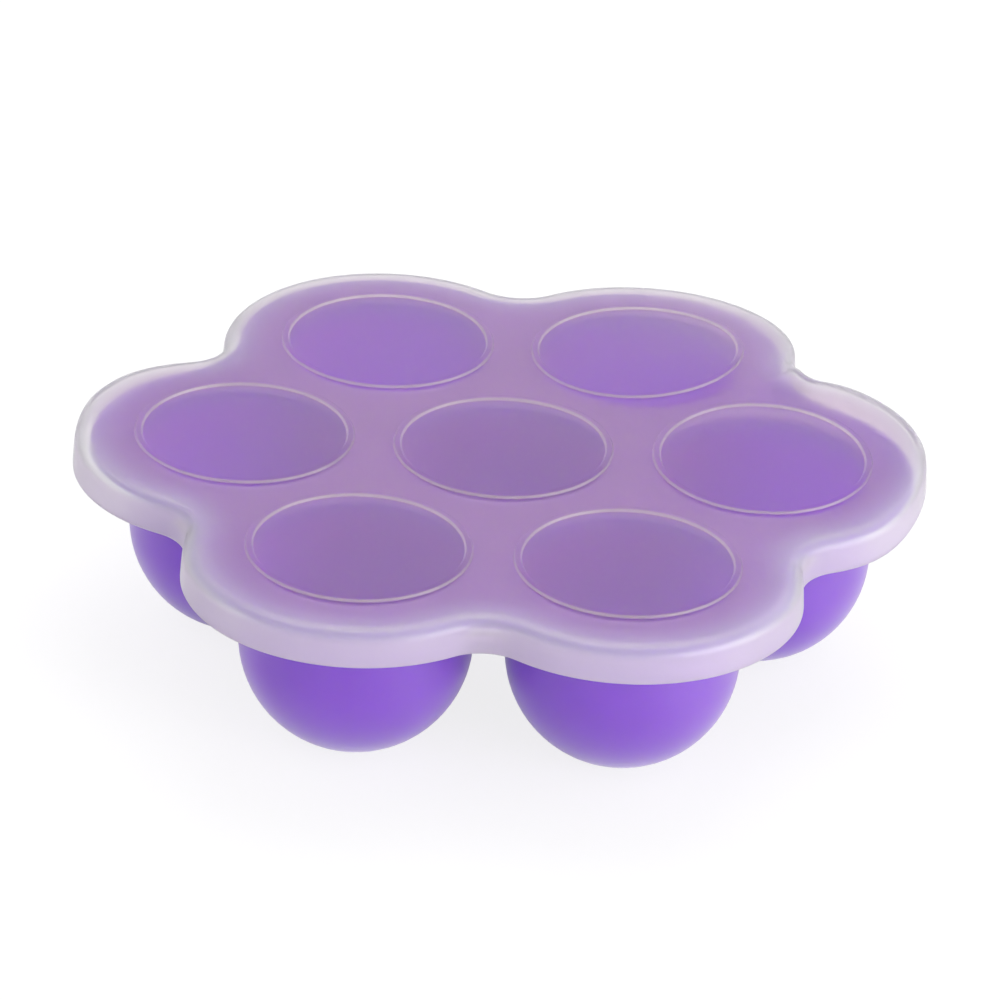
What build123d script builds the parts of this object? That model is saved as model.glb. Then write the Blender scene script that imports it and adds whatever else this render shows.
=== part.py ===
from build123d import *

import os
from math import cos, radians, sin, sqrt, tan

# Baby food freezer tray: a soft silicone moulding with seven round-bottomed cups, one in the middle
# and six around it, hanging from a flower-shaped flange, and a translucent silicone lid that caps
# the flange and clips under its edge at the six notches. Millimetres, +Z up, with the origin on the
# table under the middle cup. Each piece is one moulding, so each is one solid.

# Cups
cup_count = 6  # around the middle one
cup_radius = 25.6  # inside, of the straight wall and of the round bowl below it
cup_depth = 46.0  # inside, from the flange's top to the floor
cup_wall = 2.0  # also the floor's thickness
cup_spacing = 7.3  # between the outsides of neighbouring cups
floor_radius = 8.0  # of the flat floor, before its edge is blended into the bowl
floor_blend = 10.0
mouth_round = 1.0  # from the wall over to the flange's top
neck_round = 2.0  # from the cup's outside to the flange's underside

# Flange
flange_thickness = 2.6
flange_border = 11.5  # from an outer cup's mouth to the edge of its lobe
flange_notch_radius = 23.0  # of the hollow arcs that join the lobes
flange_edge_round = 0.9

# Lid
lid_wall = 1.5
lid_draft = 4.0  # degrees that the skirt leans outwards, going down
lid_edge_round = 3.4  # outside, from the flat top to the skirt
lid_corner_round = 1.6  # inside, from the plate to the skirt
lid_seat_gap = 0.3  # from the flange's top to the lid's plate
lobe_gap = 2.5  # from the edge of a lobe to the skirt
skirt_below_clip = 2.6
skirt_foot_round = 0.4

# Raised ring on the lid over each cup's mouth
ring_width = 2.0
ring_height = 0.6

# Clips: beads inside the skirt at the notches
clip_height = 1.6
clip_reach = 0.9  # from the skirt to the bead's nose
clip_clearance = 0.3  # from the nose to the flange's edge, and from the bead to the flange's underside
clip_half_angle = 28.0  # each way from the middle of the notch, about the centre of the skirt's arc there

# The cups' places, and what follows of their shape
lobe_step = 360 / cup_count
cup_outer_radius = cup_radius + cup_wall
cup_pitch = 2 * cup_outer_radius + cup_spacing
bowl_centre_z = cup_wall + sqrt(cup_radius**2 - floor_radius**2)
foot_radius = sqrt(cup_outer_radius**2 - bowl_centre_z**2)
cup_places = [Location((0, 0, 0)), *PolarLocations(cup_pitch, cup_count).local_locations]
notches = PolarLocations(0, cup_count, start_angle=lobe_step / 2).local_locations

# Heights, from the table up
flange_top = cup_wall + cup_depth
flange_underside = flange_top - flange_thickness
clip_centre_z = flange_underside - clip_clearance - clip_height / 2
lid_foot = clip_centre_z - clip_height / 2 - skirt_below_clip
lid_underside = flange_top + lid_seat_gap
lid_top = lid_underside + lid_wall


def notch_reach(lobe_radius, hollow_radius):
    """How far from the tray's centre the hollow arc between two lobes is, at its middle."""
    half_spread = cup_pitch * sin(radians(lobe_step / 2))
    to_hollow_centre = sqrt((lobe_radius + hollow_radius) ** 2 - half_spread**2)
    return cup_pitch * cos(radians(lobe_step / 2)) + to_hollow_centre - hollow_radius


def hollow_radius_at(lobe_radius, reach):
    """Radius of the hollow arc that touches two lobes and has its middle at that reach."""
    half_spread = cup_pitch * sin(radians(lobe_step / 2))
    beyond_pitch = reach - cup_pitch * cos(radians(lobe_step / 2))
    return (half_spread**2 + beyond_pitch**2 - lobe_radius**2) / (2 * (lobe_radius - beyond_pitch))


def flower(lobe_radius, hollow_radius):
    """Face with a round lobe about each outer cup, and tangent hollow arcs between the lobes."""
    reach = notch_reach(lobe_radius, hollow_radius)
    lobe_centre = Vector(cup_pitch, 0)
    hollow_centre = Vector(reach + hollow_radius, 0).rotate(Axis.Z, lobe_step / 2)
    lobe_end = lobe_centre + (hollow_centre - lobe_centre).normalized() * lobe_radius
    lobe_start = Vector(lobe_end.X, -lobe_end.Y)
    lobe_tip = Vector(cup_pitch + lobe_radius, 0)
    notch_middle = Vector(reach, 0).rotate(Axis.Z, lobe_step / 2)
    next_lobe_start = lobe_start.rotate(Axis.Z, lobe_step)
    with BuildSketch() as face:
        with BuildLine():
            for lobe in range(cup_count):
                turn = lobe * lobe_step
                ThreePointArc(*(p.rotate(Axis.Z, turn) for p in (lobe_start, lobe_tip, lobe_end)))
                ThreePointArc(*(p.rotate(Axis.Z, turn) for p in (lobe_end, notch_middle, next_lobe_start)))
        make_face()
    return face.sketch


def cup_section(radius, floor_z, flat_radius, blend, top_z):
    """Half section of a cup: flat floor, round bowl and, above the bowl's centre, straight wall."""
    wall_foot = (radius, bowl_centre_z)
    bowl_side = (radius * cos(radians(45)), bowl_centre_z - radius * sin(radians(45)))
    with BuildSketch() as section:
        with BuildLine():
            Polyline(wall_foot, (radius, top_z), (0, top_z), (0, floor_z), (flat_radius, floor_z))
            ThreePointArc((flat_radius, floor_z), bowl_side, wall_foot)
        make_face()
        floor_edge = section.vertices().group_by(Axis.Y)[0].sort_by(Axis.X)[-1]
        fillet(floor_edge, radius=blend)
    return section.sketch


# Cup tray: the flange, with the cups' outsides joined on below it and their insides cut out of it
flange_lobe_radius = cup_radius + flange_border

with BuildPart() as cup_outside:
    with BuildSketch(Plane.XZ):
        add(cup_section(cup_outer_radius, 0, foot_radius, floor_blend + cup_wall, flange_underside))
    revolve(axis=Axis.Z)

with BuildPart() as cup_inside:
    with BuildSketch(Plane.XZ):
        add(cup_section(cup_radius, cup_wall, floor_radius, floor_blend, flange_top))
    revolve(axis=Axis.Z)

with BuildPart() as cup_tray:
    with BuildSketch(Plane.XY.offset(flange_underside)):
        add(flower(flange_lobe_radius, flange_notch_radius))
    extrude(amount=flange_thickness)
    flange_rims = cup_tray.edges().filter_by(GeomType.CIRCLE)
    fillet(flange_rims, radius=flange_edge_round)
    with Locations(*cup_places):
        add(cup_outside.part)
    necks = cup_tray.edges(Select.LAST).group_by(Axis.Z)[-1]
    fillet(necks, radius=neck_round)
    with Locations(*cup_places):
        add(cup_inside.part, mode=Mode.SUBTRACT)
    mouths = cup_tray.edges(Select.LAST).group_by(Axis.Z)[-1]
    fillet(mouths, radius=mouth_round)

# Snap lid: a plate with a skirt, rings on top, and the hollow cut out round the clips
flange_reach = notch_reach(flange_lobe_radius, flange_notch_radius)
skirt_lean = tan(radians(lid_draft))
skirt_below_flange = flange_underside - lid_foot
skirt_lobe_radius = flange_lobe_radius + lobe_gap + skirt_below_flange * skirt_lean
skirt_reach = flange_reach + clip_clearance + clip_reach + skirt_below_flange * skirt_lean
skirt_hollow_radius = hollow_radius_at(skirt_lobe_radius, skirt_reach)

# The nose of a clip is an arc that is tighter than the skirt's own, so the clip fades out at its ends
clip_half_length = skirt_hollow_radius * sin(radians(clip_half_angle))
clip_bow = clip_reach + skirt_hollow_radius * (1 - cos(radians(clip_half_angle)))
clip_nose_radius = (clip_half_length**2 + clip_bow**2) / (2 * clip_bow)
clip_arc_centre = flange_reach + clip_clearance + clip_nose_radius

with BuildPart() as clip_bead:
    with Locations((clip_arc_centre, 0, clip_centre_z)):
        Torus(clip_nose_radius - clip_height / 2, clip_height / 2)

with BuildPart() as lid_hollow:
    with BuildSketch(Plane.XY.offset(lid_foot)):
        add(flower(skirt_lobe_radius, skirt_hollow_radius))
    extrude(amount=lid_underside - lid_foot, taper=lid_draft)
    fillet(lid_hollow.faces().sort_by(Axis.Z)[-1].edges(), radius=lid_corner_round)
    with Locations(*notches):
        add(clip_bead.part, mode=Mode.SUBTRACT)

with BuildPart() as ring:
    with BuildSketch(Plane.XZ):
        with BuildLine():
            inner_edge = (cup_radius - ring_width / 2, lid_top)
            outer_edge = (cup_radius + ring_width / 2, lid_top)
            ThreePointArc(inner_edge, (cup_radius, lid_top + ring_height), outer_edge)
            Line(outer_edge, inner_edge)
        make_face()
    revolve(axis=Axis.Z)

with BuildPart() as snap_lid:
    with BuildSketch(Plane.XY.offset(lid_foot)):
        add(flower(skirt_lobe_radius + lid_wall, skirt_hollow_radius - lid_wall))
    extrude(amount=lid_top - lid_foot, taper=lid_draft)
    fillet(snap_lid.faces().sort_by(Axis.Z)[-1].edges(), radius=lid_edge_round)
    add(lid_hollow.part, mode=Mode.SUBTRACT)
    skirt_foot = snap_lid.faces().sort_by(Axis.Z)[0]
    fillet(skirt_foot.edges(), radius=skirt_foot_round)
    with Locations(*cup_places):
        add(ring.part)

os.makedirs("parts", exist_ok=True)

cup_tray.part.label = "cup_tray"
export_step(cup_tray.part, "parts/cup_tray.step")

snap_lid.part.label = "snap_lid"
export_step(snap_lid.part, "parts/snap_lid.step")
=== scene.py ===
from math import atan2, cos, degrees, pi, radians, sin, sqrt, tan

import bpy
from mathutils import Matrix, Vector


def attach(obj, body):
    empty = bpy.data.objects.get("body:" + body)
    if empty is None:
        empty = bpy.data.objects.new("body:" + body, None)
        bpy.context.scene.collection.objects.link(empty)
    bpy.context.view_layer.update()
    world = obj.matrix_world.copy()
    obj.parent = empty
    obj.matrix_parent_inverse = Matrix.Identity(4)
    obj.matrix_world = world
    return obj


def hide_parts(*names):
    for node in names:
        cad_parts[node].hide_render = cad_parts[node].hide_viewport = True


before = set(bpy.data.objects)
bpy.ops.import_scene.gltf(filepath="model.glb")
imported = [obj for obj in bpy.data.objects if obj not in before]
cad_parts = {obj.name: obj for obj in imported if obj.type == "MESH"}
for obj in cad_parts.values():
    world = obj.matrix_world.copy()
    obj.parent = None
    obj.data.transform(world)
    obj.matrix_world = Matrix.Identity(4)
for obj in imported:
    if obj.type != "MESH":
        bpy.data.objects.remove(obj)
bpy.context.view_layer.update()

# ----------------------------------------------------------------------------------------------
# Studio. A white table top that runs on as a white ground, broad soft lamps over the back, low at the
# back and at the right-hand front, a white card that shines in the sides, and pale air all round. The
# camera is a long lens at the front, about 28 degrees above the table.
mm = 0.001

scene = bpy.context.scene
scene.view_settings.view_transform = "Standard"

camera_azimuth = radians(1.149)
camera_elevation = radians(28.088)
camera_roll = radians(2.809)
camera_distance = 1258.9 * mm
camera_lens = 188.0
camera_sensor = 36.0
lid_centre = Vector((0, 0, 49.8 * mm))
aim_right = -0.821 * mm
aim_up = -12.816 * mm

back = Vector((
    sin(camera_azimuth) * cos(camera_elevation),
    -cos(camera_azimuth) * cos(camera_elevation),
    sin(camera_elevation),
))
level_right = Vector((cos(camera_azimuth), sin(camera_azimuth), 0))
level_up = back.cross(level_right)
frame_right = cos(camera_roll) * level_right + sin(camera_roll) * level_up
frame_up = cos(camera_roll) * level_up - sin(camera_roll) * level_right
camera_place = lid_centre + aim_right * frame_right + aim_up * frame_up + camera_distance * back

camera = bpy.data.objects.new("camera", bpy.data.cameras.new("camera"))
camera.data.lens = camera_lens
camera.data.sensor_width = camera_sensor
camera.data.clip_start = 0.01
camera.data.clip_end = 50
camera.matrix_world = Matrix((
    (frame_right.x, frame_up.x, back.x, camera_place.x),
    (frame_right.y, frame_up.y, back.y, camera_place.y),
    (frame_right.z, frame_up.z, back.z, camera_place.z),
    (0, 0, 0, 1),
))
scene.collection.objects.link(camera)
scene.camera = camera


def softbox(name, place, target, width, height, watts, gloss_only=False):
    """A flat lamp that faces the target. A gloss_only one is a white card: it lights nothing, and
    shows as a soft shine in what is glossy."""
    lamp = bpy.data.lights.new(name, "AREA")
    lamp.shape = "RECTANGLE"
    lamp.size = width
    lamp.size_y = height
    lamp.energy = watts
    box = bpy.data.objects.new(name, lamp)
    box.location = place
    box.rotation_euler = (Vector(target) - Vector(place)).to_track_quat("-Z", "Y").to_euler()
    box.visible_diffuse = not gloss_only
    box.visible_transmission = not gloss_only
    scene.collection.objects.link(box)


softbox("top_softbox", (0.15, 0.6, 1.4), (0, 0, 0.04), 1.2, 1.2, 8.0)
softbox("right_softbox", (1.2, -0.9, 0.35), (0, 0, 0.04), 0.9, 0.6, 8.5)
softbox("back_softbox", (0.1, 1.6, 0.35), (0, 0, 0.04), 1.6, 0.6, 0.8)
softbox("right_card", (1.0, -0.5, 0.35), (0, 0, 0.02), 1.2, 0.7, 20.0, gloss_only=True)


def white_where_seen(nodes, links):
    """One where a camera ray or a mirrored or bent one meets the surface, and nought elsewhere."""
    path = nodes.new("ShaderNodeLightPath")
    seen = path.outputs["Is Camera Ray"]
    for kind in ("Is Glossy Ray", "Is Transmission Ray"):
        most = nodes.new("ShaderNodeMath")
        most.operation = "MAXIMUM"
        links.new(seen, most.inputs[0])
        links.new(path.outputs[kind], most.inputs[1])
        seen = most.outputs[0]
    return seen


world = bpy.data.worlds.new("pale_air")
scene.world = world
world.use_nodes = True
nodes, links = world.node_tree.nodes, world.node_tree.links
nodes.clear()
air_light = nodes.new("ShaderNodeBackground")
air_light.inputs["Strength"].default_value = 0.95
air_seen = nodes.new("ShaderNodeBackground")
air_seen.inputs["Strength"].default_value = 1.0
air_mix = nodes.new("ShaderNodeMixShader")
world_out = nodes.new("ShaderNodeOutputWorld")
links.new(white_where_seen(nodes, links), air_mix.inputs["Fac"])
links.new(air_light.outputs[0], air_mix.inputs[1])
links.new(air_seen.outputs[0], air_mix.inputs[2])
links.new(air_mix.outputs[0], world_out.inputs["Surface"])

table_half = 4.0
table_drop = 0.1 * mm  # under the cups' feet, so that the two faces aren't one
table_mesh = bpy.data.meshes.new("table")
table_mesh.from_pydata(
    [(x * table_half, y * table_half, -table_drop) for x, y in ((-1, -1), (1, -1), (1, 1), (-1, 1))],
    [],
    [(0, 1, 2, 3)],
)
table = bpy.data.objects.new("table", table_mesh)
scene.collection.objects.link(table)

white_top = bpy.data.materials.new("white_table_top")
white_top.use_nodes = True
nodes, links = white_top.node_tree.nodes, white_top.node_tree.links
nodes.clear()
top_lit = nodes.new("ShaderNodeBsdfDiffuse")
top_lit.inputs["Color"].default_value = (0.85, 0.85, 0.85, 1)
top_shade = nodes.new("ShaderNodeBsdfDiffuse")
top_shade.inputs["Color"].default_value = (0.22, 0.22, 0.22, 1)
top_glow = nodes.new("ShaderNodeEmission")
top_glow.inputs["Strength"].default_value = 0.82
top_seen = nodes.new("ShaderNodeAddShader")
top_mix = nodes.new("ShaderNodeMixShader")
top_out = nodes.new("ShaderNodeOutputMaterial")
links.new(top_shade.outputs[0], top_seen.inputs[0])
links.new(top_glow.outputs[0], top_seen.inputs[1])
links.new(white_where_seen(nodes, links), top_mix.inputs["Fac"])
links.new(top_lit.outputs[0], top_mix.inputs[1])
links.new(top_seen.outputs[0], top_mix.inputs[2])
links.new(top_mix.outputs[0], top_out.inputs["Surface"])
table_mesh.materials.append(white_top)

# ----------------------------------------------------------------------------------------------
# Cup tray. One soft moulding of opaque purple silicone: seven round-bottomed cups, one in the
# middle and six round it, hang from a flower-shaped flange. It is pressed in a steel mould, which
# leaves a satin skin and a small round at every edge.
cup_count = 6  # round the middle one
cup_radius = 25.6 * mm
cup_depth = 46.0 * mm
cup_wall = 2.0 * mm
cup_spacing = 7.3 * mm
floor_radius = 8.0 * mm
floor_blend = 10.0 * mm
mouth_round = 1.0 * mm
neck_round = 2.0 * mm
flange_thickness = 2.6 * mm
flange_border = 11.5 * mm
flange_notch_radius = 23.0 * mm
flange_edge_round = 0.9 * mm
shading_edge = 0.3 * mm  # of flat skin kept beside each round, so that it shades as flat

cup_pitch = 2 * (cup_radius + cup_wall) + cup_spacing
half_step = pi / cup_count
half_spread = cup_pitch * sin(half_step)
bowl_centre_z = cup_wall + sqrt(cup_radius**2 - floor_radius**2)
flange_top = cup_wall + cup_depth
flange_underside = flange_top - flange_thickness
flange_lobe_radius = cup_radius + flange_border

lobe_samples = 30
hollow_samples = 12
seam_samples = 18
hexagon_samples = 16
bowl_samples = 16
blend_samples = 4
edge_samples = 5
floor_rings = (0.5, 0.9)  # shares of the flat floor's radius
wall_rings = (0.35, 0.7, 1)  # shares of the straight wall's height
web_rings = (0.15, 0.3, 0.45, 0.6, 0.7, 0.8, 0.9, 1)  # shares of the way from a cup to its cell's edge


def hollow_from_axis(lobe_radius, hollow_radius):
    """How far from the middle cup's axis the hollow arc between two lobes has its centre."""
    return cup_pitch * cos(half_step) + sqrt((lobe_radius + hollow_radius) ** 2 - half_spread**2)


def hollow_beside(lobe_radius, hollow_radius):
    """The same centre as a lobe's slice has it, about the lobe's own cup."""
    to_hollow = hollow_from_axis(lobe_radius, hollow_radius)
    return Vector((to_hollow * cos(half_step) - cup_pitch, to_hollow * sin(half_step)))


def lobe_outline(lobe_radius, hollow_radius):
    """Half of one lobe's outline about its own cup, from its tip to the middle of the next notch.

    Each item is a point, the way out of the moulding there, and the angle from the notch's middle
    about the centre of its hollow arc, or None on the lobe itself."""
    hollow_centre = hollow_beside(lobe_radius, hollow_radius)
    lobe_end = atan2(hollow_centre.y, hollow_centre.x)
    half = []
    for i in range(lobe_samples + 1):
        turn = lobe_end * i / lobe_samples
        out = Vector((cos(turn), sin(turn)))
        half.append((out * lobe_radius, out, None))
    hollow_span = lobe_end - half_step
    for i in range(1, hollow_samples + 1):
        turn = lobe_end + pi - hollow_span * i / hollow_samples
        inwards = Vector((cos(turn), sin(turn)))
        from_notch = hollow_span * (1 - i / hollow_samples)
        half.append((hollow_centre + inwards * hollow_radius, -inwards, from_notch))
    return half


def flipped(point):
    """The same point, or way, on the other half of a lobe."""
    return Vector((point.x, -point.y))


def lobe_columns(lobe_radius, hollow_radius, inset):
    """The places round a lobe's cell: its rim, then the seams that it shares with its neighbours.

    Each column is (point, way out, notch angle) on the rim and (point, None, None) on a seam."""
    half = lobe_outline(lobe_radius, hollow_radius)
    other_half = [(flipped(p), flipped(out), angle) for p, out, angle in half[:0:-1]]
    rim = other_half + half
    hexagon_corner = Vector((-cup_pitch / 2, cup_pitch / 2 * tan(half_step)))
    notch, way_out, _ = half[-1]
    seam_start = notch - way_out * inset
    seam = [seam_start.lerp(hexagon_corner, i / seam_samples) for i in range(1, seam_samples + 1)]
    hexagon_side = [
        hexagon_corner.lerp(flipped(hexagon_corner), i / hexagon_samples) for i in range(1, hexagon_samples)
    ]
    shared = seam + hexagon_side + [flipped(p) for p in reversed(seam)]
    return rim + [(p, None, None) for p in shared]


def middle_columns():
    """The places round the middle cup's six-sided cell, which are all seams."""
    to_corner = cup_pitch / 2 / cos(half_step)
    turns = [(2 * i + 1) * half_step for i in range(cup_count)]
    corners = [Vector((to_corner * cos(turn), to_corner * sin(turn))) for turn in turns]
    return [
        (corner.lerp(following, i / hexagon_samples), None, None)
        for corner, following in zip(corners, corners[1:] + corners[:1])
        for i in range(hexagon_samples)
    ]


def arc(centre, radius, start, end, count):
    """Points of an arc in a (distance, height) section, both ends included."""
    turns = [start + (end - start) * i / count for i in range(count + 1)]
    return [(centre[0] + radius * cos(turn), centre[1] + radius * sin(turn)) for turn in turns]


def rounded(corners, steps=6):
    """A section's polyline with each inner corner (x, z, radius) turned into an arc."""
    line = [Vector(corners[0][:2])]
    for before, corner, after in zip(corners, corners[1:], corners[2:]):
        here, radius = Vector(corner[:2]), corner[2]
        to_before = (Vector(before[:2]) - here).normalized()
        to_after = (Vector(after[:2]) - here).normalized()
        half_angle = to_before.angle(to_after) / 2
        centre = here + (to_before + to_after).normalized() * radius / sin(half_angle)
        first = here + to_before * radius / tan(half_angle) - centre
        last = here + to_after * radius / tan(half_angle) - centre
        sweep = first.angle_signed(last)
        for i in range(steps + 1):
            turn = -sweep * i / steps
            line.append(centre + Vector((
                first.x * cos(turn) - first.y * sin(turn),
                first.x * sin(turn) + first.y * cos(turn),
            )))
    line.append(Vector(corners[-1][:2]))
    return [tuple(p) for p in line]


def cell_mesh(name, columns, inset, upper, lower, rim, bulge=None, shares=None):
    """A closed slice of a moulding about one cup: a polar grid that runs out over the upper skin,
    round the rim where there is one, and back under the lower skin.

    upper and lower are (radius, z) sections from the axis out to the web, rim is an (inset, z)
    section from the upper skin to the lower, and bulge moves rim points by column and height.
    shares gives each attribute that a material reads, as a name and a function of the point."""
    points, faces = [], []

    def ring(places):
        """Adds a row of points, and gives their numbers."""
        first = len(points)
        points.extend(places)
        return list(range(first, first + len(places)))

    def bridge(inner, outer, closed):
        """Joins two rows of points with four-sided faces, all the way round or not."""
        for i in range(len(inner) if closed else len(inner) - 1):
            j = (i + 1) % len(inner)
            faces.append((inner[i], outer[i], outer[j], inner[j]))

    edges = [p - out * inset if out else p for p, out, _ in columns]

    def skin_rings(section):
        """The rings of one skin, from the axis to the cell's edge."""
        pole = ring([(0, 0, section[0][1])])[0]
        rings = [ring([(*(e.normalized() * r), z) for e in edges]) for r, z in section[1:]]
        web_radius, web_z = section[-1]
        starts = [e.normalized() * web_radius for e in edges]
        for share in web_rings:
            rings.append(ring([(*a.lerp(e, share), web_z) for a, e in zip(starts, edges)]))
        for i in range(len(edges)):
            faces.append((pole, rings[0][i], rings[0][(i + 1) % len(edges)]))
        for inner, outer in zip(rings, rings[1:]):
            bridge(inner, outer, True)
        return rings[-1]

    top_edge = skin_rings(upper)
    top_faces = len(faces)
    bottom_edge = skin_rings(lower)
    faces[top_faces:] = [tuple(reversed(f)) for f in faces[top_faces:]]

    on_rim = [i for i, (_, out, _) in enumerate(columns) if out]
    if on_rim:
        strip = [[top_edge[i] for i in on_rim]]
        for depth, z in rim[1:-1]:
            places = []
            for i in on_rim:
                p, out, angle = columns[i]
                extra = bulge(angle, z) if bulge else 0
                places.append((*(p - out * (depth + extra)), z))
            strip.append(ring(places))
        strip.append([bottom_edge[i] for i in on_rim])
        for inner, outer in zip(strip, strip[1:]):
            bridge(inner, outer, False)
    mesh = bpy.data.meshes.new(name)
    mesh.from_pydata(points, [], faces)
    for label, share_at in (shares or {}).items():
        field = mesh.attributes.new(label, "FLOAT", "POINT")
        field.data.foreach_set("value", [share_at(Vector(p)) for p in points])
    return mesh


def cup_section(radius, floor_z, blend, top_z):
    """A cup's skin from the middle of its floor up to the top of its straight wall."""
    to_blend = bowl_centre_z - floor_z - blend
    flat = sqrt((radius - blend) ** 2 - to_blend**2)
    meets = atan2(flat, to_blend)
    section = [(0, floor_z)] + [(flat * share, floor_z) for share in floor_rings]
    section += arc((flat, floor_z + blend), blend, -pi / 2, -pi / 2 + meets, blend_samples)
    section += arc((0, bowl_centre_z), radius, -pi / 2 + meets, 0, bowl_samples)[1:]
    section += [(radius, bowl_centre_z + (top_z - bowl_centre_z) * share) for share in wall_rings]
    return section


def moulding_tree():
    """Geometry Nodes that set a lobe's slice round the middle one and weld them into one skin."""
    tree = bpy.data.node_groups.new("moulding_from_slices", "GeometryNodeTree")
    face = tree.interface
    face.new_socket("Geometry", in_out="INPUT", socket_type="NodeSocketGeometry")
    for label, kind in (
        ("Middle slice", "NodeSocketObject"),
        ("Lobes", "NodeSocketInt"),
        ("Pitch", "NodeSocketFloat"),
        ("Weld distance", "NodeSocketFloat"),
        ("Silicone", "NodeSocketMaterial"),
    ):
        face.new_socket(label, in_out="INPUT", socket_type=kind)
    face.new_socket("Geometry", in_out="OUTPUT", socket_type="NodeSocketGeometry")
    nodes, links = tree.nodes, tree.links
    given = nodes.new("NodeGroupInput")
    made = nodes.new("NodeGroupOutput")

    places = nodes.new("GeometryNodeMeshCircle")
    links.new(given.outputs["Lobes"], places.inputs["Vertices"])
    links.new(given.outputs["Pitch"], places.inputs["Radius"])
    full_turn = nodes.new("ShaderNodeMath")
    full_turn.operation = "DIVIDE"
    full_turn.inputs[0].default_value = 2 * pi
    links.new(given.outputs["Lobes"], full_turn.inputs[1])
    index = nodes.new("GeometryNodeInputIndex")
    turn = nodes.new("ShaderNodeMath")
    turn.operation = "MULTIPLY"
    links.new(index.outputs[0], turn.inputs[0])
    links.new(full_turn.outputs[0], turn.inputs[1])
    about_z = nodes.new("ShaderNodeCombineXYZ")
    links.new(turn.outputs[0], about_z.inputs["Z"])
    lobes = nodes.new("GeometryNodeInstanceOnPoints")
    links.new(places.outputs["Mesh"], lobes.inputs["Points"])
    links.new(given.outputs["Geometry"], lobes.inputs["Instance"])
    links.new(about_z.outputs[0], lobes.inputs["Rotation"])

    middle = nodes.new("GeometryNodeObjectInfo")
    links.new(given.outputs["Middle slice"], middle.inputs["Object"])
    both = nodes.new("GeometryNodeJoinGeometry")
    links.new(middle.outputs["Geometry"], both.inputs[0])
    links.new(lobes.outputs[0], both.inputs[0])
    real = nodes.new("GeometryNodeRealizeInstances")
    links.new(both.outputs[0], real.inputs[0])
    weld = nodes.new("GeometryNodeMergeByDistance")
    links.new(real.outputs[0], weld.inputs["Geometry"])
    links.new(given.outputs["Weld distance"], weld.inputs["Distance"])
    smooth = nodes.new("GeometryNodeSetShadeSmooth")
    links.new(weld.outputs[0], smooth.inputs["Geometry"])
    dress = nodes.new("GeometryNodeSetMaterial")
    links.new(smooth.outputs[0], dress.inputs["Geometry"])
    links.new(given.outputs["Silicone"], dress.inputs["Material"])
    links.new(dress.outputs[0], made.inputs[0])
    return tree


slices_tree = moulding_tree()


def moulding(name, lobe_slice, middle_slice, material):
    """The whole piece as a plain mesh: one lobe's slice repeated round the middle slice."""
    lobe = bpy.data.objects.new(name + "_lobe", lobe_slice)
    middle = bpy.data.objects.new(name + "_middle", middle_slice)
    scene.collection.objects.link(lobe)
    scene.collection.objects.link(middle)
    repeat = lobe.modifiers.new("slices", "NODES")
    repeat.node_group = slices_tree
    values = {
        "Middle slice": middle,
        "Lobes": cup_count,
        "Pitch": cup_pitch,
        "Weld distance": 0.01 * mm,
        "Silicone": material,
    }
    for item in slices_tree.interface.items_tree:
        if item.in_out == "INPUT" and item.name in values:
            repeat[item.identifier] = values[item.name]
    shapes = bpy.context.evaluated_depsgraph_get()
    mesh = bpy.data.meshes.new_from_object(lobe.evaluated_get(shapes))
    mesh.name = name
    bpy.data.objects.remove(lobe)
    bpy.data.objects.remove(middle)
    piece = bpy.data.objects.new(name, mesh)
    scene.collection.objects.link(piece)
    return piece


tray_inset = flange_edge_round + shading_edge
cup_inside = cup_section(cup_radius, cup_wall, floor_blend, flange_top - mouth_round)
mouth_centre = (cup_radius + mouth_round, flange_top - mouth_round)
cup_inside += arc(mouth_centre, mouth_round, pi, pi / 2, edge_samples)[1:]
cup_inside.append((cup_radius + mouth_round + shading_edge, flange_top))
cup_outer_radius = cup_radius + cup_wall
cup_outside = cup_section(cup_outer_radius, 0, floor_blend + cup_wall, flange_underside - neck_round)
neck_centre = (cup_outer_radius + neck_round, flange_underside - neck_round)
cup_outside += arc(neck_centre, neck_round, pi, pi / 2, edge_samples)[1:]
cup_outside.append((cup_outer_radius + neck_round + shading_edge, flange_underside))
flange_rim = rounded([
    (tray_inset, flange_top, 0),
    (0, flange_top, flange_edge_round),
    (0, flange_underside, flange_edge_round),
    (tray_inset, flange_underside, 0),
])

painted_glow_fade = 3.0 * mm  # down from the flange's top, over which a cup's inside takes on its painted glow


def eased(share):
    """A share from nought to one, with no kink at either."""
    share = min(max(share, 0), 1)
    return share * share * (3 - 2 * share)


def painted_glow_share(point):
    """One on a cup's inner skin, which gets a painted glow there in place of the light that would come
    through the wall, and nought outside it.
    """
    from_axis = sqrt(point.x**2 + point.y**2)
    if point.z < bowl_centre_z:
        from_axis = sqrt(from_axis**2 + (point.z - bowl_centre_z) ** 2)
    if from_axis > cup_radius + mouth_round + cup_wall / 4 or point.z < cup_wall / 2:
        return 0
    return eased((flange_top - point.z) / painted_glow_fade)


purple = (0.267, 0.093, 0.595)
purple_spread = 0.03  # share by which the pigment's clouds darken or lighten it
painted_glow_purple = (0.48, 0.01, 0.97)  # of a cup's inside, lighter than the purple: a painted glow in place of light through the thin wall


def noise(nodes, links, place, scale, detail, distortion=0):
    """A noise that is fixed to a piece, and the same on each run."""
    texture = nodes.new("ShaderNodeTexNoise")
    texture.inputs["Scale"].default_value = scale
    texture.inputs["Detail"].default_value = detail
    texture.inputs["Distortion"].default_value = distortion
    links.new(place, texture.inputs["Vector"])
    return texture.outputs["Fac"]


def relief(nodes, links, height, strength, distance, under=None):
    """A skin's way out with that height added to it, on top of another relief where one is given."""
    bump = nodes.new("ShaderNodeBump")
    bump.inputs["Strength"].default_value = strength
    bump.inputs["Distance"].default_value = distance
    links.new(height, bump.inputs["Height"])
    if under:
        links.new(under, bump.inputs["Normal"])
    return bump.outputs["Normal"]


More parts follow.
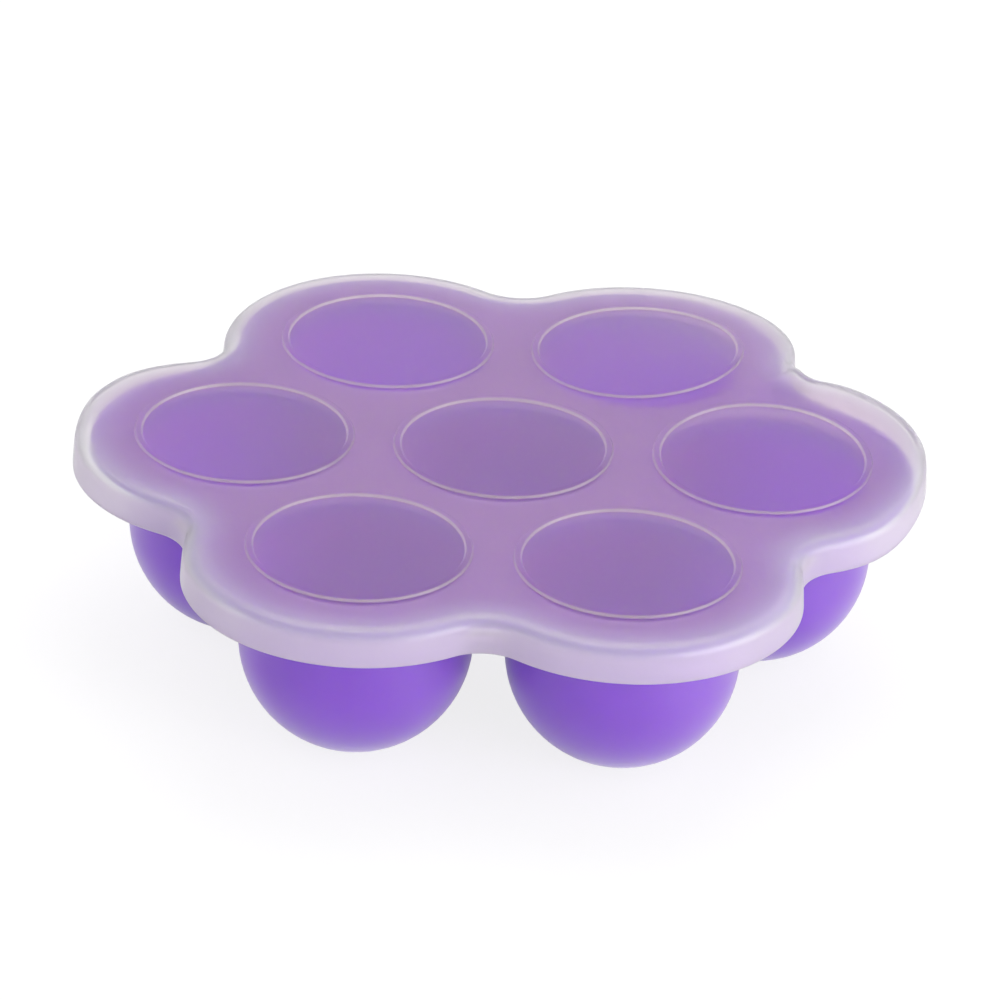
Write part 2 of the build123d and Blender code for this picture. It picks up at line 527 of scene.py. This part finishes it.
purple_silicone = bpy.data.materials.new("purple_silicone")
purple_silicone.use_nodes = True
nodes, links = purple_silicone.node_tree.nodes, purple_silicone.node_tree.links
skin = nodes["Principled BSDF"]
skin.inputs["Roughness"].default_value = 0.45
skin.inputs["IOR"].default_value = 1.6
skin.inputs["Subsurface Weight"].default_value = 1.0
skin.inputs["Subsurface Radius"].default_value = (1.0, 0.5, 1.3)
skin.inputs["Subsurface Scale"].default_value = 5 * mm
skin.inputs["Sheen Weight"].default_value = 0.77
skin.inputs["Sheen Roughness"].default_value = 0.4
skin.inputs["Sheen Tint"].default_value = (1.0, 1.0, 1.0, 1)
here = nodes.new("ShaderNodeTexCoord").outputs["Object"]
tone = nodes.new("ShaderNodeValToRGB")
tone.color_ramp.elements[0].position = 0.3
tone.color_ramp.elements[0].color = (*[part * (1 - purple_spread) for part in purple], 1)
tone.color_ramp.elements[1].position = 0.7
tone.color_ramp.elements[1].color = (*[part * (1 + purple_spread) for part in purple], 1)
links.new(noise(nodes, links, here, scale=60, detail=3), tone.inputs["Fac"])
# Painted glow: on the cups' insides the base colour turns to a lighter purple, which stands in for light
# through the walls and bouncing round each cup.
inside = nodes.new("ShaderNodeAttribute")
inside.attribute_name = "inside"
painted_glow_mix = nodes.new("ShaderNodeMix")
painted_glow_mix.data_type = "RGBA"
links.new(inside.outputs["Fac"], painted_glow_mix.inputs["Factor"])
links.new(tone.outputs["Color"], painted_glow_mix.inputs["A"])
painted_glow_mix.inputs["B"].default_value = (*painted_glow_purple, 1)
links.new(painted_glow_mix.outputs["Result"], skin.inputs["Base Color"])
grain = noise(nodes, links, here, scale=2500, detail=2)
satin = relief(nodes, links, grain, strength=0.15, distance=0.02 * mm)
links.new(satin, skin.inputs["Normal"])

tray = moulding(
    "cup_tray_moulding",
    cell_mesh(
        "tray_lobe",
        lobe_columns(flange_lobe_radius, flange_notch_radius, tray_inset),
        tray_inset,
        cup_inside,
        cup_outside,
        flange_rim,
        None,
        {"inside": painted_glow_share},
    ),
    cell_mesh(
        "tray_middle", middle_columns(), 0, cup_inside, cup_outside, [], None, {"inside": painted_glow_share}
    ),
    purple_silicone,
)
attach(tray, "tray")
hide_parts("cup_tray")

# ----------------------------------------------------------------------------------------------
# Snap lid. One moulding of unpigmented silicone, milky and see-through: a flat plate with a low
# ring over each cup's mouth, a rounded edge and a skirt that hangs down past the flange. Beads
# inside the skirt, one at each notch, catch under the flange.
lid_wall = 1.5 * mm
lid_draft = radians(4.0)
lid_edge_round = 3.4 * mm
lid_corner_round = 1.6 * mm
lid_seat_gap = 0.3 * mm
lobe_gap = 2.5 * mm
skirt_below_clip = 2.6 * mm
skirt_foot_round = 0.4 * mm
ring_width = 2.0 * mm
ring_height = 0.6 * mm
clip_height = 1.6 * mm
clip_reach = 0.9 * mm
clip_clearance = 0.3 * mm
clip_half_angle = radians(28.0)

clip_centre_z = flange_underside - clip_clearance - clip_height / 2
lid_foot = clip_centre_z - clip_height / 2 - skirt_below_clip
lid_underside = flange_top + lid_seat_gap
lid_top = lid_underside + lid_wall
lean = tan(lid_draft)
below_flange = flange_underside - lid_foot

flange_reach = hollow_from_axis(flange_lobe_radius, flange_notch_radius) - flange_notch_radius
skirt_lobe_radius = flange_lobe_radius + lobe_gap + below_flange * lean
skirt_reach = flange_reach + clip_clearance + clip_reach + below_flange * lean
past_pitch = skirt_reach - cup_pitch * cos(half_step)
skirt_hollow_radius = (half_spread**2 + past_pitch**2 - skirt_lobe_radius**2) / (
    2 * (skirt_lobe_radius - past_pitch)
)

lid_lobe_radius = skirt_lobe_radius + lid_wall
lid_hollow_radius = skirt_hollow_radius - lid_wall
top_lean = (lid_top - lid_foot) * lean
underside_lean = (lid_underside - lid_foot) * lean
lid_inset = top_lean + lid_edge_round + 2 * shading_edge


def clip_bulge(angle, z):
    """How far a bead stands in from the skirt at that angle from the notch's middle."""
    half_height = clip_height / 2
    up = z - clip_centre_z
    if angle is None or abs(angle) >= clip_half_angle or abs(up) >= half_height:
        return 0
    nose = clip_reach * (1 - (angle / clip_half_angle) ** 2)
    return max(0, nose - half_height + sqrt(half_height**2 - up**2))


row_shares = (-1, -0.93, -0.75, -0.4, 0, 0.4, 0.75, 0.93, 1)  # of half a bead's height
clip_heights = [clip_centre_z + clip_height / 2 * share for share in row_shares]
outside_and_foot = rounded([
    (lid_inset, lid_top, 0),
    (top_lean, lid_top, lid_edge_round),
    (0, lid_foot, skirt_foot_round),
    (lid_wall, lid_foot, skirt_foot_round),
    (lid_wall + underside_lean, lid_underside, lid_corner_round),
    (lid_inset, lid_underside, 0),
])


def with_clip_rows(section):
    """The skirt's section with rows at the beads' heights, on the straight inner face."""
    rows = []
    for first, second in zip(section, section[1:]):
        rows.append(first)
        if first[0] > lid_wall / 2 and first[1] < clip_heights[0] and second[1] > clip_heights[-1]:
            for z in clip_heights:
                share = (z - first[1]) / (second[1] - first[1])
                rows.append((first[0] + (second[0] - first[0]) * share, z))
    rows.append(section[-1])
    return rows


lid_rim = with_clip_rows(outside_and_foot)

ring_half = ring_width / 2
ring_flank = 0.3 * mm  # that the ring's sides lean in
ring_shoulder = 0.28 * mm
ring_foot_round = 0.15 * mm
disc_rings = (0.3, 0.6, 0.85)  # shares of the cup's radius
under_ring = 1.06
lid_plate = [(0, lid_top)]
lid_plate += [(cup_radius * share, lid_top) for share in disc_rings]
lid_plate += rounded([
    (cup_radius - ring_half - shading_edge, lid_top, 0),
    (cup_radius - ring_half, lid_top, ring_foot_round),
    (cup_radius - ring_half + ring_flank, lid_top + ring_height, ring_shoulder),
    (cup_radius + ring_half - ring_flank, lid_top + ring_height, ring_shoulder),
    (cup_radius + ring_half, lid_top, ring_foot_round),
    (cup_radius + ring_half + shading_edge, lid_top, 0),
], steps=3)
lid_ceiling = [(0, lid_underside)]
lid_ceiling += [(cup_radius * share, lid_underside) for share in (*disc_rings, under_ring)]

disc_milk = 0.04  # share of the light that one skin scatters, inside a ring
web_milk = 0.01
ring_side_painted_highlight = 0.3  # milk half-way up a ring's inner side: a painted highlight line along the ring
outer_painted_highlight_share = 0.6  # of that, on its outer side, where the painted highlight is fainter
bead_milk = 0.6  # more, where a bead thickens the skirt
# The plate turns milkier towards its rim: partly its own milk showing where no flange lies behind it, and
# partly painted light, in place of light that the lid carries in from its edge.
rim_milk = 0.3
skirt_milk = 0.6
rim_start = 2.0 * mm  # in from the edge, where the plate's rim starts to turn clear
rim_fade = 12.0 * mm  # over which it does
skirt_fade = 2.5 * mm  # down from the plate


def plate_milk(point):
    """How milky the plate is at a point, by its distance from the cup's axis and its height; the extra milk
    up a ring's sides is a painted highlight.
    """
    out = (sqrt(point.x**2 + point.y**2) - cup_radius) / ring_half
    height = max(0, point.z - lid_top) / ring_height
    milk = disc_milk + (web_milk - disc_milk) * eased((out + 1) / 2)
    side = 4 * height * (1 - height)  # one half-way up a ring's side, nought at its foot and top
    # painted highlight: more milk half-way up each ring's sides
    return milk + (ring_side_painted_highlight - milk) * side * (1 if out < 0 else outer_painted_highlight_share)


def lobe_milk(point):
    """How milky the lid is at a point of a lobe's slice: more towards its rim and down its skirt."""
    flat = Vector((point.x, abs(point.y)))
    hollow_centre = hollow_beside(lid_lobe_radius, lid_hollow_radius)
    if atan2(flat.y, flat.x) < atan2(hollow_centre.y, hollow_centre.x):
        inset = lid_lobe_radius - flat.length
    else:
        inset = (flat - hollow_centre).length - lid_hollow_radius
    rim = max(0, min(1, 1 - (inset - rim_start) / rim_fade)) ** 2
    skin_top = lid_top - lid_wall * min(1, inset / rim_start)
    down = eased((skin_top - point.z) / skirt_fade)
    milk = plate_milk(point)
    # partly painted light: the rim's extra milk stands in for light carried in from the lid's edge
    milk += (rim_milk - web_milk) * rim
    milk += (skirt_milk - milk) * down
    notch_angle = (flat - hollow_centre).angle(-hollow_centre - Vector((cup_pitch, 0)))
    return milk + bead_milk * clip_bulge(notch_angle, point.z) / clip_reach


lid_roughness = 0.35
lid_ior = 1.3

milky_silicone = bpy.data.materials.new("milky_silicone")
milky_silicone.use_nodes = True
nodes, links = milky_silicone.node_tree.nodes, milky_silicone.node_tree.links
nodes.clear()
clear = nodes.new("ShaderNodeBsdfGlass")
clear.inputs["Roughness"].default_value = lid_roughness
clear.inputs["IOR"].default_value = lid_ior
milk_back = nodes.new("ShaderNodeBsdfDiffuse")
milk_on = nodes.new("ShaderNodeBsdfTranslucent")
cloud_of_milk = nodes.new("ShaderNodeMixShader")
cloud_of_milk.inputs["Fac"].default_value = 0.5
links.new(milk_back.outputs[0], cloud_of_milk.inputs[1])
links.new(milk_on.outputs[0], cloud_of_milk.inputs[2])
gloss = nodes.new("ShaderNodeBsdfGlossy")
gloss.inputs["Roughness"].default_value = lid_roughness
facing = nodes.new("ShaderNodeFresnel")
facing.inputs["IOR"].default_value = lid_ior
satin_milk = nodes.new("ShaderNodeMixShader")
links.new(facing.outputs[0], satin_milk.inputs["Fac"])
links.new(cloud_of_milk.outputs[0], satin_milk.inputs[1])
links.new(gloss.outputs[0], satin_milk.inputs[2])
here = nodes.new("ShaderNodeTexCoord").outputs["Object"]
soft_wave = noise(nodes, links, here, scale=45, detail=2)
wavy_skin = relief(nodes, links, soft_wave, strength=0.35, distance=0.4 * mm)
frost = noise(nodes, links, here, scale=900, detail=2)
frosted_skin = relief(nodes, links, frost, strength=0.15, distance=0.03 * mm, under=wavy_skin)
for shader in (clear, gloss, milk_back):
    links.new(frosted_skin, shader.inputs["Normal"])

milk_share = nodes.new("ShaderNodeAttribute")
milk_share.attribute_name = "milk"
streaks = noise(nodes, links, here, scale=28, detail=3, distortion=0.6)  # as it flowed in its mould
cloudy = nodes.new("ShaderNodeMapRange")
cloudy.inputs["From Min"].default_value = 0.3
cloudy.inputs["From Max"].default_value = 0.7
cloudy.inputs["To Min"].default_value = 0.9
cloudy.inputs["To Max"].default_value = 1.1
milkiness = nodes.new("ShaderNodeMath")
milkiness.operation = "MULTIPLY"
links.new(streaks, cloudy.inputs["Value"])
links.new(cloudy.outputs[0], milkiness.inputs[0])
links.new(milk_share.outputs["Fac"], milkiness.inputs[1])


def tint_by_milk(thin_milk, thin_colour, thick_milk, thick_colour):
    """A colour that goes from one to the other as the milk gets thicker."""
    between = nodes.new("ShaderNodeMapRange")
    between.inputs["From Min"].default_value = thin_milk
    between.inputs["From Max"].default_value = thick_milk
    tint = nodes.new("ShaderNodeMix")
    tint.data_type = "RGBA"
    tint.inputs["A"].default_value = (*thin_colour, 1)
    tint.inputs["B"].default_value = (*thick_colour, 1)
    links.new(milk_share.outputs["Fac"], between.inputs["Value"])
    links.new(between.outputs[0], tint.inputs["Factor"])
    return tint.outputs["Result"]


clear_tint = tint_by_milk(web_milk, (1.0, 0.94, 0.96), rim_milk, (1.0, 1.0, 1.0))
# The milk turns lilac down the skirt: painted purple light, in place of what the purple flange behind the
# skirt would scatter into it.
milk_and_painted_bounce_tint = tint_by_milk(rim_milk, (0.98, 0.98, 0.98), skirt_milk, (0.97, 0.88, 1.0))
links.new(clear_tint, clear.inputs["Color"])
for shader in (milk_back, milk_on):
    links.new(milk_and_painted_bounce_tint, shader.inputs["Color"])
body = nodes.new("ShaderNodeMixShader")
links.new(milkiness.outputs[0], body.inputs["Fac"])
links.new(clear.outputs[0], body.inputs[1])
links.new(satin_milk.outputs[0], body.inputs[2])
lid_out = nodes.new("ShaderNodeOutputMaterial")
links.new(body.outputs[0], lid_out.inputs["Surface"])

lid = moulding(
    "snap_lid_moulding",
    cell_mesh(
        "lid_lobe",
        lobe_columns(lid_lobe_radius, lid_hollow_radius, lid_inset),
        lid_inset,
        lid_plate,
        lid_ceiling,
        lid_rim,
        clip_bulge,
        {"milk": lobe_milk},
    ),
    cell_mesh(
        "lid_middle", middle_columns(), 0, lid_plate, lid_ceiling, [], None, {"milk": plate_milk}
    ),
    milky_silicone,
)

# The soft lid isn't pressed on all the way at its right-hand back side, and curls at the left. Each
# span gives where a form starts and where it is whole. Turns are in degrees from the right-hand lobe.
lifted = 1.25 * mm  # at the right-hand ring's middle
lift_across = (5 * mm, 60 * mm)
lift_along = (100 * mm, 30 * mm)
curled = 3.4 * mm  # more, at the rim
curl_out = (68 * mm, 93 * mm)
curl_ends = ((75, 0), (-22, 4))
crept = 1.6 * mm  # inwards, at the rim
creep_across = (35 * mm, 70 * mm)
creep_turns = (-26, -6)
left_curled = 1.9 * mm  # at the rim of the left-hand lobe's back
left_turns = (150, 168)
left_along = (-8 * mm, 15 * mm)


def ramp(value, span):
    """From nought at the span's start to one at its end, with no kink at either."""
    start, end = span
    return eased((value - start) / (end - start))


def past_ring(point):
    """How far outside the nearest outer cup's ring a point is, as a share of the way to the edge."""
    turn = atan2(point.y, point.x)
    nearest = Vector((cup_pitch, 0))
    nearest.rotate(Matrix.Rotation(2 * half_step * round(turn / (2 * half_step)), 2))
    return max(0, (point.xy - nearest).length - cup_radius) / (flange_border + lobe_gap)


def slack(point):
    """How far the soft lid is off its seat there: it tilts up, and its rim curls up and creeps in."""
    turn = degrees(atan2(point.y, point.x))
    lift = (1 + point.y / cup_radius) * ramp(point.x, lift_across) * ramp(point.y, lift_along)
    at_rim = past_ring(point) ** 2 * ramp(point.xy.length, curl_out)
    curl = at_rim * ramp(turn, curl_ends[0]) * ramp(turn, curl_ends[1])
    left_curl = at_rim * ramp(abs(turn), left_turns) * ramp(point.y, left_along)
    creep = min(1, past_ring(point)) * ramp(point.x, creep_across) * ramp(turn, creep_turns)
    up = max(0, lifted * lift) + curled * curl + left_curled * left_curl
    return Vector((-crept * creep, 0, up))


for vertex in lid.data.vertices:
    vertex.co += slack(vertex.co)
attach(lid, "lid")
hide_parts("snap_lid")
